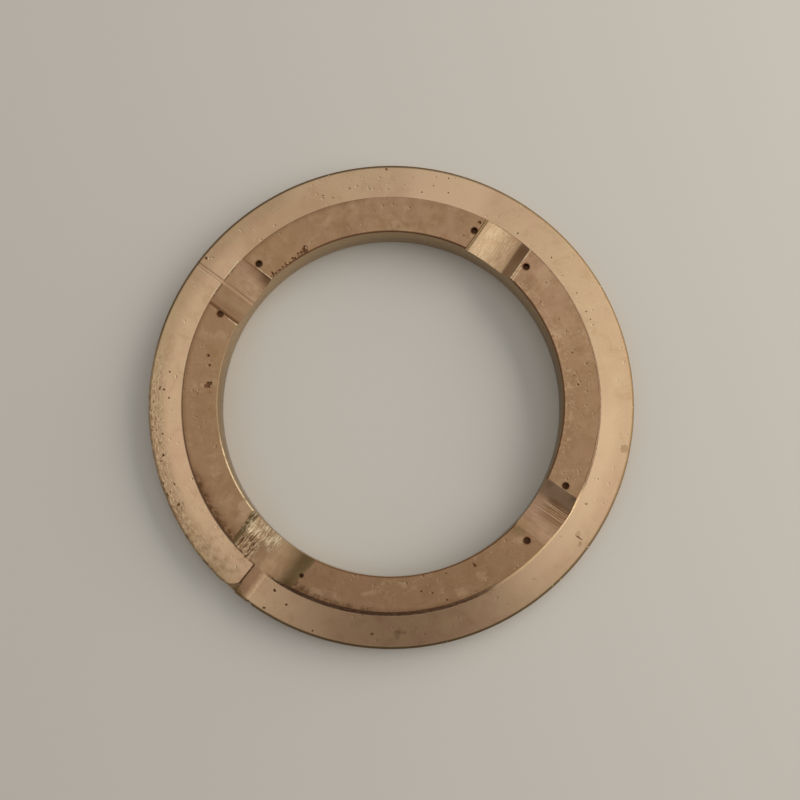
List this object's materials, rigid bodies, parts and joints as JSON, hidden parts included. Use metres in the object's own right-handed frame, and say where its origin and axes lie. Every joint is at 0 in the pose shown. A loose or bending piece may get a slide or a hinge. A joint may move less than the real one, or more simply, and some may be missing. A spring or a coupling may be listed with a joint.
{
  "type": "thrust washer",
  "caption": "Turned bronze ring with a raised thrust land round a plain bore, round-bottomed oil grooves milled across the land and a lower, gently falling rim.",
  "frame": {"origin": "on the axis of the ring, at its back face", "axes": "+Z along the bore, from the back face to the thrust land; the groove directions are counted counter-clockwise from +X"},
  "size_m": [0.128, 0.128, 0.008],
  "materials": {
    "bronze": "satin"
  },
  "bodies": {
    "root": {"thrust_washer": "bronze"}
  },
  "joints": []
}
